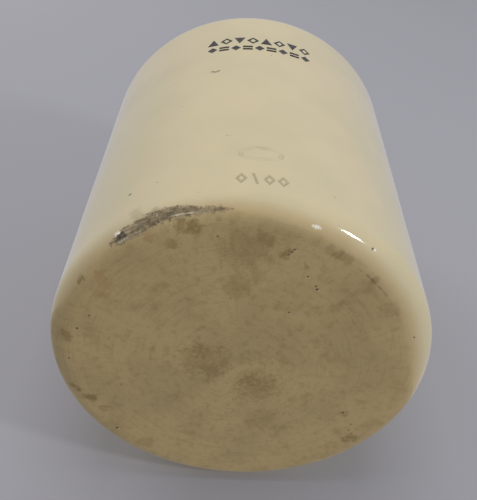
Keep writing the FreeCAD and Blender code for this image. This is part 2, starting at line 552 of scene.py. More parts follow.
def mark_wall(vert, layers, around, run, pot, marks):
    """Gives a vertex its crust, chip and stamp, and returns how far it rises, in millimetres."""
    crust, chip_and_glint = crust_at(around, run), chip_at(around, run)
    lumps = noise.noise(vert.co / LUMP)
    pressed = stamp_depth(vert.co, pot, marks)
    vert[layers["crust"]] = crust
    vert[layers["chip_and_glint"]] = chip_and_glint
    vert[layers["stamp"]] = min(1.0, pressed / FULL_STAMP)
    return crust * (CRUST_DEPTH + CRUST_LUMPS * lumps) - CHIP_DEPTH * chip_and_glint * (1 - 0.5 * crust) - pressed


def mark_base(vert, layers, run):
    """Gives a vertex its pit and the painted highlight beside it, a light speck in the chip layer, and
    returns how far it sinks, in millimetres.
    """
    dip = max(pit_depth(vert.co, *pit) for pit in PITS)
    painted_glint = max(pit_depth(vert.co, *painted_glint_by_pit(*pit)) for pit in PITS)
    vert[layers["pit"]] = dip
    # Painted highlight: a light speck beside each pit, kept with the chips, stands in for a glint
    vert[layers["chip_and_glint"]] = max(vert[layers["chip_and_glint"]], 0.8 * painted_glint * (1 - dip))
    relief = noise.fractal(vert.co / BASE_PATCH, 1.0, 2.0, 3)
    return PIT_DEPTH * dip + BASE_UNEVENNESS * (1 + relief) * eased(run, -5, -12)


def mark_jar(shell, pot, marks):
    """Gives the jar its glaze line, crust, chips, stamps and pits, in layers and in its shape."""
    layers = {name: shell.verts.layers.float.new(name) for name in ("crust", "chip_and_glint", "stamp", "pit")}
    glazed = shell.verts.layers.float["glaze"]
    shell.normal_update()
    for vert in shell.verts:
        around, run = degrees_round(vert.co), run_of(vert.co, pot)
        outward = vert.normal.dot(Vector((vert.co.x, vert.co.y, 0)).normalized())
        underneath = vert.co.z < pot.base / 2
        height = -wander(vert.co, pot) * eased(outward, 0.0, 0.5)
        if (underneath or outward > 0.5) and vert.co.z < STAMPED_TO + 3 * MM:
            vert[glazed] = max(-GLAZED, min(GLAZED, run - read_off(GLAZE_LINE, around)))
            if within(around, MARKED_ANGLES) and within(run, MARKED_RUNS):
                height += mark_wall(vert, layers, around, run, pot, marks)
        if underneath:
            height -= mark_base(vert, layers, run)
        vert.co += vert.normal * height * MM
        vert.co.z = max(0.0, vert.co.z)


def stamp_depth(point, pot, marks):
    """How deep the impressed marks are at a place, in millimetres."""
    oval = Marks.oval(*unrolled(point, marks.oval_angle, marks.oval_height, pot))
    strokes = Marks.strokes(*unrolled(point, marks.stroke_angle, marks.stroke_height, pot))
    oval_depth = 0.06 + 0.14 * eased(noise.noise(point / STAMP_PATCH), -0.2, 0.35)
    return oval_depth * (1 - eased(oval, 0.1, 0.42)) + STROKE_DEPTH * (1 - eased(strokes, 0.06, 0.5))


def painted_glint_by_pit(x, y, width):
    """The place and width of the painted highlight beside a pit: a light speck that stands in for a glint.
    """
    return x + width * 0.7, y + width * 0.4, width * 0.6


def pit_depth(point, x, y, width):
    """How deep one pit is at a place, from 0 to 1."""
    away = math.hypot(point.x / MM - x, point.y / MM - y)
    return 1 - eased(away, width * 0.15, width * 0.75)


# How far round the crust, the oval, the strokes and a pit the mesh is divided, and into how many cuts
CRUSTED_ANGLES = (CRUST_ENDS[0] - 2, CRUST_ENDS[1] + 2)
CRUSTED_RUN = 5
BY_OVAL = (8.5, 5.5)
BY_STROKES = (9, 4.8)
BY_PIT = 1.9
DETAIL_CUTS = (3, 5, 4)  # for the crust, the stamps and the pits


def needs_detail(pot, marks):
    """Tests for the places that the crust, chips, stamps and pits take up."""

    def near_crust(point):
        around, run = degrees_round(point), run_of(point, pot)
        return within(around, CRUSTED_ANGLES) and abs(run) < CRUSTED_RUN

    def near_stamps(point):
        if math.hypot(point.x, point.y) < pot.radius - pot.wall / 2:
            return False
        oval = unrolled(point, marks.oval_angle, marks.oval_height, pot)
        strokes = unrolled(point, marks.stroke_angle, marks.stroke_height, pot)
        by_oval = abs(oval[0]) < BY_OVAL[0] and abs(oval[1]) < BY_OVAL[1]
        return by_oval or (abs(strokes[0]) < BY_STROKES[0] and abs(strokes[1]) < BY_STROKES[1])

    def near_pits(point):
        flat = point.z < pot.base / 4
        return flat and any(math.hypot(point.x / MM - x, point.y / MM - y) < BY_PIT for x, y, _ in PITS)

    return near_crust, near_stamps, near_pits


class OINTMENT_OT_jar(bpy.types.Operator):
    """Make the jar: turned stoneware with its glaze, bare base, kiln crust, chips and impressed marks"""

    bl_idname = "ointment.jar"
    bl_label = "Jar"

    def execute(self, context):
        scene = context.scene
        pot, marks = scene.ointment_pot, scene.ointment_marks
        shell = turned(pot_corners(pot))
        for chosen, cuts in zip(needs_detail(pot, marks), DETAIL_CUTS):
            refine(shell, chosen, cuts)
        settle(shell, pot)
        mark_jar(shell, pot, marks)
        material = jar_finish(scene.ointment_finish, pot.radius)
        finished(shell, "jar", "pot", "pot_body", material)
        return {"FINISHED"}


# The printed marks


UPPER_MARKS = 8
LOWER_MARKS = 9
MARK_SHARE = 0.84  # how much of its pitch a mark fills
OUTLINE = 1.15 * MM  # how thick the hollow lozenges' lines are
BAR_SHARE = 0.31  # a bar's height, as a share of the row's
BAR_SHIFT = 0.25  # how far a bar's middle is from the row's
INK = 0.05 * MM  # how thick the skin of ink is
WOBBLE = 0.04 * MM  # how far the rows wander up and down, and within what distance
WOBBLE_LENGTH = 1.1 * MM


def lozenge(row, wide, tall, hollow):
    """Adds a lozenge, filled or as an outline, standing in the XZ plane."""
    made = bmesh.ops.create_circle(row, cap_ends=True, segments=4, radius=0.5)
    verts = made["verts"]
    bmesh.ops.scale(row, vec=(wide, tall, 1), verts=verts)
    face = next(iter(verts[0].link_faces))
    if hollow:
        inner = bmesh.ops.inset_individual(row, faces=[face], thickness=hollow)
        verts = list({vert for side in inner["faces"] for vert in side.verts} | set(verts))
        bmesh.ops.delete(row, geom=[face], context="FACES_ONLY")
    return verts


def triangle(row, wide, tall, upside_down):
    """Adds a filled triangle."""
    verts = bmesh.ops.create_circle(row, cap_ends=True, segments=3, radius=0.5)["verts"]
    width, height = math.sqrt(3) / 2, 0.75  # of a triangle in a circle one across
    bmesh.ops.scale(row, vec=(wide / width, tall / height, 1), verts=verts)
    heights = [vert.co.y for vert in verts]
    middle = (min(heights) + max(heights)) / 2
    bmesh.ops.translate(row, vec=(0, -middle, 0), verts=verts)
    if upside_down:
        half_turn = Quaternion((0, 0, 1), math.pi).to_matrix()
        bmesh.ops.rotate(row, cent=(0, 0, 0), matrix=half_turn, verts=verts)
    return verts


def bar(row, wide, tall):
    """Adds a filled bar."""
    verts = bmesh.ops.create_grid(row, x_segments=1, y_segments=1, size=0.5)["verts"]
    bmesh.ops.scale(row, vec=(wide, tall, 1), verts=verts)
    return verts


def upper_mark(row, number, wide, tall):
    """The upper row takes turns between triangles and hollow lozenges."""
    if number % 2:
        return lozenge(row, wide * 1.1, tall * 1.04, OUTLINE)
    return triangle(row, wide, tall, number % 4 == 2)


def lower_mark(row, number, wide, tall):
    """The lower row takes turns between filled lozenges and pairs of bars."""
    if number % 2 == 0:
        return lozenge(row, wide, tall, 0)
    upper, lower = bar(row, wide, tall * BAR_SHARE), bar(row, wide, tall * BAR_SHARE)
    bmesh.ops.translate(row, vec=(0, tall * BAR_SHIFT, 0), verts=upper)
    bmesh.ops.translate(row, vec=(0, -tall * BAR_SHIFT, 0), verts=lower)
    return upper + lower


def printed_row(name, count, pitch, tall, middle, make, scene):
    """One row of printed marks, a thin skin of ink that follows the wall."""
    pot, marks = scene.ointment_pot, scene.ointment_marks
    row = bmesh.new()
    for number in range(count):
        verts = make(row, number, pitch * MARK_SHARE, tall)
        bmesh.ops.translate(row, vec=((number - (count - 1) / 2) * pitch, 0, 0), verts=verts)
    bmesh.ops.triangulate(row, faces=row.faces[:])
    bmesh.ops.subdivide_edges(row, edges=row.edges[:], cuts=4, use_grid_fill=True)
    bmesh.ops.recalc_face_normals(row, faces=row.faces[:])
    for vert in row.verts:
        around = marks.print_angle + vert.co.x / pot.radius
        height = middle + vert.co.y + WOBBLE * math.sin(vert.co.x / WOBBLE_LENGTH)
        vert.co = (pot.radius * math.sin(around), -pot.radius * math.cos(around), height)
    bmesh.ops.solidify(row, geom=row.faces[:], thickness=2 * INK)
    for vert in row.verts:
        flat = Vector((vert.co.x, vert.co.y, 0))
        outer = flat.length > pot.radius - INK / 2
        depth = wander(vert.co, pot) * MM + (-INK / 2 if outer else INK)
        vert.co -= flat.normalized() * (depth + flat.length - pot.radius)
    bmesh.ops.recalc_face_normals(row, faces=row.faces[:])
    finished(row, name, "pot", None, ink_finish(scene.ointment_finish))


class OINTMENT_OT_print(bpy.types.Operator):
    """Make the printed marks: two rows of plain dark shapes high on the wall"""

    bl_idname = "ointment.print"
    bl_label = "Printed Marks"

    def execute(self, context):
        scene = context.scene
        marks = scene.ointment_marks
        upper = (UPPER_MARKS, marks.upper_pitch, marks.upper_height, marks.upper_row, upper_mark)
        lower = (LOWER_MARKS, marks.lower_pitch, marks.lower_height, marks.lower_row, lower_mark)
        printed_row("printed_row_upper", *upper, scene)
        printed_row("printed_row_lower", *lower, scene)
        return {"FINISHED"}


# The ring and the lid


RING_BORE = 35.8 * MM  # the ring's inside radius
RING_EDGE = 0.5 * MM
RING_STEP = 1 * MM
PERISHED_PATCH = 4 * MM  # the size of the ring's perished patches

# Roundings of the lid's corners
KNOB_TOP = 4.2 * MM
KNOB_UNDER = 2.6 * MM
KNOB_FOOT = 2.4 * MM
CROWN = 60 * MM
FLANGE_EDGE = 1.8 * MM
SPIGOT_COVE = 0.4 * MM
SPIGOT_EDGE = 1.5 * MM
RECESS_CORNER = 2.5 * MM
# How finely the knob's top and the lid's underside are divided
KNOB_STEP = 1.2 * MM
CEILING_STEP = 2.5 * MM
# Sizes of the patches in which the lid's top varies
LID_SLOW_PATCH = 17 * MM
LID_QUICK_PATCH = 6 * MM


def ring_corners():
    """The rubber ring's section."""
    inner, outer = RING_BORE, RING_BOX[1].x
    low, high = RING_BOX[0].z, RING_BOX[1].z
    return [
        Corner(inner, low, RING_EDGE, step=RING_STEP),
        Corner(outer, low, RING_EDGE, step=RING_STEP),
        Corner(outer, high, RING_EDGE, step=RING_STEP),
        Corner(inner, high, RING_EDGE, step=RING_STEP),
    ]


class OINTMENT_OT_ring(bpy.types.Operator):
    """Make the sealing ring: old rubber, a little perished at its edges"""

    bl_idname = "ointment.ring"
    bl_label = "Sealing Ring"

    def execute(self, context):
        shell = turned(ring_corners())
        shell.normal_update()
        for vert in shell.verts:
            perished = noise.fractal(vert.co / PERISHED_PATCH, 1.0, 2.0, 3)
            edge = 1 - abs(vert.normal.z)
            vert.co -= vert.normal * edge * (0.12 + 0.1 * perished) * MM
        material = rubber_finish(context.scene.ointment_finish)
        finished(shell, "rubber_ring", "ring", "sealing_ring", material)
        return {"FINISHED"}


def lid_corners(lid):
    """The lid's half section, from the top of the knob round to the middle of its hollow underside."""
    edge_top = lid.seat + lid.edge
    crown = edge_top + lid.rise
    recess = lid.spigot - lid.spigot_wall
    ceiling = crown - lid.thickness
    head_foot = lid.top - lid.knob_head
    return [
        Corner(0, lid.top),
        Corner(lid.knob, lid.top - lid.knob_crown, KNOB_TOP, step=KNOB_STEP),
        Corner(lid.knob, head_foot, KNOB_UNDER),
        Corner(lid.stem, head_foot - lid.knob_crown, KNOB_UNDER),
        Corner(lid.stem, crown, KNOB_FOOT),
        Corner(lid.radius - lid.margin, crown, CROWN),
        Corner(lid.radius, edge_top, FLANGE_EDGE, glaze=7),
        Corner(lid.radius, lid.seat, FLANGE_EDGE, glaze=0.5),
        Corner(lid.spigot, lid.seat, SPIGOT_COVE, glaze=BARE),
        Corner(lid.spigot, lid.foot, SPIGOT_EDGE, glaze=-3),
        Corner(recess, lid.foot, SPIGOT_EDGE, glaze=1),
        Corner(recess, ceiling, RECESS_CORNER),
        Corner(0, ceiling, step=CEILING_STEP),
    ]


class OINTMENT_OT_lid(bpy.types.Operator):
    """Make the lid: flange, spigot and turned knob, glazed but for its seat and spigot"""

    bl_idname = "ointment.lid"
    bl_label = "Lid"

    def execute(self, context):
        scene = context.scene
        lid = scene.ointment_lid
        shell = turned(lid_corners(lid))
        shell.normal_update()
        for vert in shell.verts:
            above = eased(vert.co.z, lid.seat + lid.edge / 2, lid.seat + lid.edge)
            uneven = noise.noise(vert.co / LID_SLOW_PATCH) + 0.5 * noise.noise(vert.co / LID_QUICK_PATCH)
            vert.co -= vert.normal * above * (0.1 + 0.08 * uneven) * MM
        finished(shell, "knobbed_lid", "lid", "lid", lid_finish(scene.ointment_finish))
        return {"FINISHED"}


# Finishes


class Finish:
    """One material, mixed in plain steps. Lengths are in millimetres on the piece."""

    def __init__(self, name):
        self.material = bpy.data.materials.new(name)
        self.material.use_nodes = True
        self.tree = self.material.node_tree
        self.surface = self.tree.nodes["Principled BSDF"]
        self.place = self.add("ShaderNodeTexCoord").outputs["Object"]

    def add(self, kind, inputs=None, **settings):
        """Adds a node, with its settings and what goes into its sockets."""
        made = self.tree.nodes.new(kind)
        for name, value in settings.items():
            setattr(made, name, value)
        for name, value in (inputs or {}).items():
            if isinstance(value, bpy.types.NodeSocket):
                self.tree.links.new(value, made.inputs[name])
            else:
                made.inputs[name].default_value = value
        return made

    def set(self, **inputs):
        """Sets the surface's sockets, whose names are written with underscores."""
        for name, value in inputs.items():
            socket = self.surface.inputs[name.replace("_", " ").title().replace("Ior", "IOR")]
            if isinstance(value, bpy.types.NodeSocket):
                self.tree.links.new(value, socket)
            else:
                socket.default_value = value

    def sum(self, operation, first, second=0.0, third=0.0):
        """One step of arithmetic."""
        return self.add("ShaderNodeMath", {0: first, 1: second, 2: third}, operation=operation).outputs[0]

    def rise(self, value, low, high, start=0.0, end=1.0):
        """A smooth rise from start to end as the value goes from low to high."""
        inputs = {"Value": value, "From Min": low, "From Max": high, "To Min": start, "To Max": end}
        return self.add("ShaderNodeMapRange", inputs, interpolation_type="SMOOTHSTEP").outputs[0]

    def cloud(self, across, detail=4.0, roughness=0.55, place=None):
        """Cloudy variation with patches about that far across."""
        scale = 1 / (across * MM)
        inputs = {"Vector": place or self.place, "Scale": scale, "Detail": detail, "Roughness": roughness}
        return self.add("ShaderNodeTexNoise", inputs, normalize=True).outputs["Fac"]

    def specks(self, apart, radius, kept):
        """Scattered round specks, a share of them kept."""
        inputs = {"Vector": self.place, "Scale": 1 / (apart * MM)}
        cells = self.add("ShaderNodeTexVoronoi", inputs)
        dot = self.rise(cells.outputs["Distance"], radius / apart, 0.4 * radius / apart)
        chance = self.add("ShaderNodeSeparateColor", {"Color": cells.outputs["Color"]}).outputs[0]
        return self.sum("MULTIPLY", dot, self.sum("LESS_THAN", chance, kept))

    def mix(self, share, first, second):
        """One colour laid over another."""
        node = self.add("ShaderNodeMix", data_type="RGBA")
        for socket, value in zip((node.inputs[0], node.inputs[6], node.inputs[7]), (share, first, second)):
            if isinstance(value, bpy.types.NodeSocket):
                self.tree.links.new(value, socket)
            else:
                socket.default_value = value if isinstance(value, float) else (*value, 1.0)
        return node.outputs[2]

    def layer(self, name):
        """A value that the mesh carries."""
        return self.add("ShaderNodeAttribute", attribute_name=name).outputs["Fac"]

    def bump(self, height, depth):
        """Fine relief of that depth."""
        return self.add("ShaderNodeBump", {"Height": height, "Distance": depth * MM}).outputs[0]

    def shaken(self, across, far):
        """The piece's coordinates, each moved up to about half that far in cloudy patches."""
        inputs = {"Vector": self.place, "Scale": 1 / (across * MM), "Detail": 3.0}
        patches = self.add("ShaderNodeTexNoise", inputs, normalize=True).outputs["Color"]
        centred = self.add("ShaderNodeVectorMath", {0: patches, 1: (0.5, 0.5, 0.5)}, operation="SUBTRACT")
        inputs = {0: centred.outputs[0], "Scale": far * MM}
        shift = self.add("ShaderNodeVectorMath", inputs, operation="SCALE").outputs[0]
        return self.add("ShaderNodeVectorMath", {0: self.place, 1: shift}, operation="ADD").outputs[0]

    def spot(self, x, y, z, radius, place=None):
        """A soft round spot at a place on the piece."""
        inputs = {0: place or self.place, 1: (x * MM, y * MM, z * MM)}
        away = self.add("ShaderNodeVectorMath", inputs, operation="DISTANCE").outputs["Value"]
        return self.rise(away, radius * MM, radius * MM * 0.2)


def turned_place(finish):
    """Coordinates that run round the axis, for streaks that a turning wheel leaves."""
    parts = finish.add("ShaderNodeSeparateXYZ", {"Vector": finish.place})
    flat = finish.add("ShaderNodeCombineXYZ", {"X": parts.outputs["X"], "Y": parts.outputs["Y"]})
    length = finish.add("ShaderNodeVectorMath", {0: flat.outputs[0]}, operation="LENGTH").outputs["Value"]
    unit = finish.add("ShaderNodeVectorMath", {0: flat.outputs[0]}, operation="NORMALIZE").outputs[0]
    way = finish.add("ShaderNodeSeparateXYZ", {"Vector": unit})
    slow = 3 * MM
    inputs = {
        "X": finish.sum("ADD", length, parts.outputs["Z"]),
        "Y": finish.sum("MULTIPLY", way.outputs["X"], slow),
        "Z": finish.sum("MULTIPLY", way.outputs["Y"], slow),
    }
    return finish.add("ShaderNodeCombineXYZ", inputs).outputs[0]


def stoneware(finish, colours):
    """The clay and its glaze line, which the jar and the lid share."""
    ragged = finish.cloud(3.5, detail=5.0, roughness=0.6)
    edge = finish.sum("MULTIPLY_ADD", ragged, 2.4, finish.layer("glaze"))
    cover = finish.rise(edge, 0.2, 3.0)
    broad = finish.cloud(24.0, detail=3.0)
    patches = finish.cloud(9.0, detail=6.0, roughness=0.7)
    streaks = finish.cloud(0.9, detail=3.0, roughness=0.6, place=turned_place(finish))
    grain = finish.cloud(0.8, detail=4.0, roughness=0.7)
    mottles = finish.cloud(2.2, detail=5.0, roughness=0.75)
    clay = finish.mix(finish.rise(broad, 0.4, 0.62, 0.0, 0.8), colours.clay, colours.clay_grey)
    clay = finish.mix(finish.rise(patches, 0.48, 0.72, 0.0, 0.45), clay, colours.clay_stained)
    clay = finish.mix(finish.rise(mottles, 0.5, 0.7, 0.0, 0.4), clay, colours.clay_stained)
    clay = finish.mix(finish.rise(streaks, 0.5, 0.75, 0.0, 0.3), clay, colours.clay_stained)
    clay = finish.mix(finish.rise(grain, 0.52, 0.75, 0.0, 0.3), clay, colours.clay_stained)
    flush = finish.rise(finish.layer("glaze"), -3.8, 0.3, 0.0, 0.45)
    clay = finish.mix(flush, clay, colours.glaze_thin)
    return edge, cover, clay, grain


def glaze_colour(finish, colours, edge):
    """The glaze's own colour: cloudy cream, thinner towards its edge and over sharp bends."""
    patches = finish.cloud(26.0, detail=3.0)
    cream = finish.mix(finish.rise(patches, 0.35, 0.7), colours.glaze, colours.glaze_cool)
    near_edge = finish.rise(edge, 8.0, 2.0)
    sharp = finish.sum("MULTIPLY_ADD", finish.cloud(5.0), 0.5, finish.layer("bend"))
    thin = finish.sum("MAXIMUM", near_edge, finish.rise(sharp, 0.75, 1.25))
    return finish.mix(thin, cream, colours.glaze_thin)


def surface_relief(finish, cover, grain):
    """Grain where the clay is bare, and the faint orange peel of the glaze."""
    peel = finish.cloud(5.0, detail=2.0)
    bare = finish.sum("SUBTRACT", 1.0, cover)
    height = finish.sum("MULTIPLY_ADD", grain, bare, finish.sum("MULTIPLY", peel, 0.3))
    return finish.bump(height, 0.09)


# Stains on the base, rust, smears and burnt crust: x, y, z and radius in millimetres, and strength
STAINS = (
    (-10.0, -1.5, 0, 9.5, 0.5), (-11.6, -5.0, 0, 4.6, 0.8), (-8.1, 2.3, 0, 4.4, 0.7),
    (-5.5, -1.0, 0, 3.4, 0.65), (5.2, 8.5, 0, 9.0, 0.5), (3.9, 7.0, 0, 4.6, 0.8),
    (8.1, 10.4, 0, 3.6, 0.65), (-0.6, -31.0, 0, 6.0, 0.4), (-18.4, -44.8, 0, 2.4, 0.6),
    (0.5, -43.0, 0, 8.0, 0.5), (-13.2, -49.6, 0, 3.2, 0.9), (-16.3, -50.1, 0.5, 2.6, 0.8),
    (-49.9, -9.2, 0, 3.0, 0.7), (-51.2, 12.2, 0.5, 2.2, 1.0), (-50.0, 13.7, 0.3, 1.8, 1.0),
    (-45.7, 16.6, 0, 2.4, 1.0), (-40.9, 21.8, 0, 2.2, 0.5), (7.0, 24.5, 0, 6.0, 0.35),
    (11.3, -41.4, 0, 2.2, 1.0), (4.2, -48.1, 0, 2.6, 0.7), (7.0, -46.4, 0, 2.6, 0.7),
    (16.3, -38.3, 0, 1.2, 0.6), (22.6, -43.2, 0, 2.2, 0.5), (25.0, -42.0, 0, 2.6, 0.7),
    (26.8, -40.8, 0, 2.0, 0.5), (35.6, -34.2, 0, 2.2, 0.5), (26.9, -24.4, 0, 3.0, 0.4),
    (37.5, 31.4, 0, 2.8, 0.9), (35.5, 32.7, 0, 2.2, 0.8), (32.9, 19.7, 0, 2.2, 0.6),
    (-43.6, -30.9, 0.9, 1.6, 0.7), (41.0, -24.0, 0, 4.0, 0.4), (-29.8, 37.6, 0, 3.0, 0.4),
)
RUST = (
    (-37.8, -33.0, 0, 2.8, 0.42), (-36.9, -29.8, 0, 3.2, 0.35), (-38.8, -26.7, 0, 2.6, 0.28),
    (-24.6, -45.9, 0, 1.7, 0.4), (-33.0, 38.0, 0, 2.0, 0.3),
)
SMEARS = (
    (-28.8, -49.1, 5.8, 2.6, 0.3), (-27.2, -49.2, 3.8, 2.4, 0.4), (-22.3, -51.6, 3.4, 2.6, 0.5),
)
BURNT = (
    (-32.2, -44.5, 2.0, 1.5, 0.9), (-33.0, -43.9, 2.0, 1.4, 0.9), (-31.1, -45.3, 2.0, 1.4, 0.8),
)
# Flakes lost from the heel and painted highlights on it, in the same way: the brightest are white specks
# that stand in for glints
FLAKES_AND_GLINTS = (
    (17.5, -50.6, 1.0, 0.6, 0.8), (18.2, -50.4, 1.0, 0.75, 1.0), (18.8, -50.2, 1.0, 0.75, 1.0),
    (19.4, -49.9, 1.0, 0.55, 0.7), (18.2, -49.9, 0.7, 0.45, 0.6), (34.4, -42.8, 2.0, 0.6, 1.0),
    (-33.4, -44.4, 2.8, 0.9, 1.0), (-32.7, -45.0, 2.9, 0.8, 1.0), (-32.4, -43.2, 1.3, 0.65, 0.2),
    (-31.7, -43.7, 1.2, 0.65, 0.25), (-31.0, -44.2, 1.2, 0.65, 0.25), (-30.2, -44.7, 1.2, 0.6, 0.2),
    (-21.2, -49.9, 1.4, 0.5, 0.22), (-22.3, -50.9, 2.8, 0.45, 0.35),
)
# Dirt specks on the base, in the same way
DIRT = (
    (12.6, -42.7, 0, 0.5, 0.8), (11.7, -41.9, 0, 0.5, 0.8), (35.9, 25.1, 0, 0.5, 0.7),
    (-35.9, 10.2, 0, 0.45, 0.6), (-34.7, -23.6, 0, 0.5, 0.5), (-6.7, -47.0, 0, 0.5, 0.7),
    (33.7, -43.2, 2.0, 0.55, 0.9), (-26.5, 19.5, 0, 0.4, 0.5), (-32.3, 26.5, 0, 0.45, 0.5),
    (36.4, 29.6, 0, 0.4, 0.6),
)
# Specks in the glaze: the angle round the pot, the height and the radius in millimetres, and strength
SPECKS = (
    (-33.9, 17.8, 0.8, 1.0), (24.7, 12.9, 0.5, 0.5), (-24.9, 17.6, 0.5, 0.6), (-5.9, 36.2, 0.5, 0.45),
    (-4.9, 35.8, 0.4, 0.45), (-12.3, 7.2, 0.35, 0.6), (-9.1, 6.8, 0.3, 0.5), (-12.8, 82.8, 0.8, 0.9),
    (-12.2, 82.4, 0.8, 0.9), (-11.6, 82.1, 0.8, 0.9), (-11.0, 82.3, 0.8, 0.9), (-10.4, 82.8, 0.75, 0.9),
)
GROOVE = (48.6, 0.45)  # radius and half width of a turned line in the base
GROOVE_MIDDLE = (35.0, -34.2, 11.0)  # where it shows: x, y and radius


def placed(finish, spots):
    """Soft ragged patches at places on the piece."""
    coarse = finish.cloud(4.5, detail=4.0)
    fine = finish.sum("MULTIPLY", finish.cloud(1.1, detail=4.0, roughness=0.7), 2.6)
    ragged = finish.sum("MULTIPLY_ADD", coarse, 1.6, fine)
    where = finish.shaken(5.0, 6.0)
    total = 0.0
    for x, y, z, radius, strength in spots:
        near = finish.sum("MULTIPLY_ADD", finish.spot(x, y, z, radius * 1.6, where), 2.0, ragged)
        total = finish.sum("MAXIMUM", finish.rise(near, 3.0, 4.3, 0.0, strength), total)
    return total


def dotted(finish, spots):
    """Small round dots at places on the piece."""
    total = 0.0
    for x, y, z, radius, strength in spots:
        dot = finish.sum("MULTIPLY", finish.spot(x, y, z, radius), strength)
        total = finish.sum("MAXIMUM", dot, total)
    return total


def on_wall(specks, radius):
    """Places on the wall, from angles round the pot and heights."""
    for around, height, across, strength in specks:
        turn = math.radians(around)
        yield radius / MM * math.sin(turn), -radius / MM * math.cos(turn), height, across, strength


def groove(finish):
    """A turned line in the base that fades out at both ends."""
    radius, half = GROOVE
    x, y, reach = GROOVE_MIDDLE
    along = finish.add("ShaderNodeSeparateXYZ", {"Vector": turned_place(finish)}).outputs["X"]
    away = finish.sum("ABSOLUTE", finish.sum("SUBTRACT", along, radius * MM))
    line = finish.rise(away, half * MM, 0.2 * half * MM)
    broken = finish.rise(finish.cloud(2.2, detail=3.0), 0.4, 0.6)
    return finish.sum("MULTIPLY", finish.sum("MULTIPLY", line, finish.spot(x, y, 0, reach)), broken)


def jar_finish(colours, pot_radius):
    """Cream glaze, bare stained base, kiln crust and chips, with painted highlights on the heel and by the
    pits.
    """
    finish = Finish("jar_stoneware")
    edge, cover, clay, grain = stoneware(finish, colours)
    clay = finish.mix(placed(finish, STAINS), clay, colours.clay_stained)
    clay = finish.mix(placed(finish, RUST), clay, colours.iron)
    line = groove(finish)
    clay = finish.mix(finish.sum("MULTIPLY", line, 0.6), clay, colours.crust_dark)
    colour = finish.mix(cover, clay, glaze_colour(finish, colours, edge))
    colour = finish.mix(finish.specks(7.0, 0.35, 0.12), colour, colours.clay_stained)
    colour = finish.mix(placed(finish, SMEARS), colour, colours.crust)
    colour = finish.mix(dotted(finish, on_wall(SPECKS, pot_radius)), colour, colours.crust_dark)
    burnt = finish.rise(finish.cloud(2.4, detail=6.0, roughness=0.8), 0.42, 0.62, 0.0, 0.9)
    streaks = finish.cloud(0.45, detail=3.0, roughness=0.6, place=turned_place(finish))
    crust = finish.mix(burnt, colours.crust, colours.crust_dark)
    crust = finish.mix(finish.rise(streaks, 0.5, 0.7, 0.0, 0.35), crust, colours.chip_and_glint)
    crust = finish.mix(placed(finish, BURNT), crust, colours.pit)
    colour = finish.mix(finish.layer("crust"), colour, crust)
    # The chip layer holds real chips and the painted highlights beside the pits
    colour = finish.mix(finish.layer("chip_and_glint"), colour, colours.chip_and_glint)
    # Painted highlight: white specks that stand in for glints on the heel, besides a few real breaks
    colour = finish.mix(dotted(finish, FLAKES_AND_GLINTS), colour, colours.flake_and_glint)
    colour = finish.mix(finish.sum("MULTIPLY", finish.layer("stamp"), 0.33), colour, colours.crust_dark)
    dirt = finish.sum("MAXIMUM", finish.layer("pit"), dotted(finish, DIRT))
    colour = finish.mix(dirt, colour, colours.pit)
    smooth = finish.sum("SUBTRACT", cover, finish.layer("crust"))
    finish.set(
        base_color=colour,
        roughness=finish.rise(smooth, 0.0, 1.0, 0.62, 0.09),
        normal=surface_relief(finish, cover, finish.sum("SUBTRACT", grain, line)),
    )
    return finish.material


def lid_finish(colours):
    """The jar's glaze, with a bare seat and spigot."""
    finish = Finish("lid_stoneware")
    edge, cover, clay, grain = stoneware(finish, colours)
    colour = finish.mix(cover, clay, glaze_colour(finish, colours, edge))
    colour = finish.mix(finish.specks(6.0, 0.35, 0.15), colour, colours.clay_stained)
    finish.set(
        base_color=colour,
        roughness=finish.rise(cover, 0.0, 1.0, 0.62, 0.09),
        normal=surface_relief(finish, cover, grain),
    )
    return finish.material


def ink_finish(colours):
    """Dark print, worn thin in places, under the same gloss as the glaze."""
    finish = Finish("printed_ink")
    worn = finish.rise(finish.cloud(0.9, detail=5.0), 0.62, 0.78)
    finish.set(base_color=finish.mix(worn, colours.ink, colours.glaze_cool), roughness=0.12)
    return finish.material


def rubber_finish(colours):
    """Old red-brown rubber with a pale bloom."""
    finish = Finish("ring_rubber")
    bloom = finish.rise(finish.cloud(6.0, detail=6.0), 0.45, 0.75)
    relief = finish.bump(finish.cloud(0.5, detail=3.0), 0.05)
    finish.set(
        base_color=finish.mix(bloom, colours.rubber, colours.rubber_bloom), roughness=0.7, normal=relief
    )
    return finish.material


# The stage


# The camera, as fitted to the pot's outline in the photograph
CAMERA_PLACE = Vector((0.0, -0.15500, -0.14638))
CAMERA_AIM = Vector((-0.00684, 0.60810, 0.79383))
CAMERA_ROLL = math.radians(2.434)
SENSOR = 36  # the width of the camera's picture in millimetres
NEAREST = 0.01  # the nearest thing that the camera shows, in metres

# The lamps: their places, widths and colours
LIT_MIDDLE = Vector((0, 0, 0.08))  # what the large lamps point at
FRONT_PLACE = Vector((0.05, -0.95, 0.15))
SIDE_PLACE = Vector((-0.5, -0.45, 0.75))
LARGE_LAMP = 0.6
BACK_PLACE = CAMERA_PLACE + CAMERA_AIM * 1.3
BACK_LAMP = 0.3
WINDOW_GLINT = Vector((0.0283, -0.0470, 0.0021))  # the place on the heel where the window shows
WINDOW_WAY = Vector((0.774, -0.469, -0.426))  # the way from there to the window
WINDOW_PLACE = WINDOW_GLINT + WINDOW_WAY * 0.8
WINDOW_WIDE = 0.15
WINDOW_TALL = 0.1
WARM = (1.0, 0.95, 0.88)
WHITE = (1.0, 1.0, 1.0)

SHEET_HALF = 3.0  # half the width of the floor and of the backdrop
CLEAR = 0.3 * MM  # how far they stay clear of the pot
FLOOR_EVEN = 0.6  # how much of the floor is evenly pale


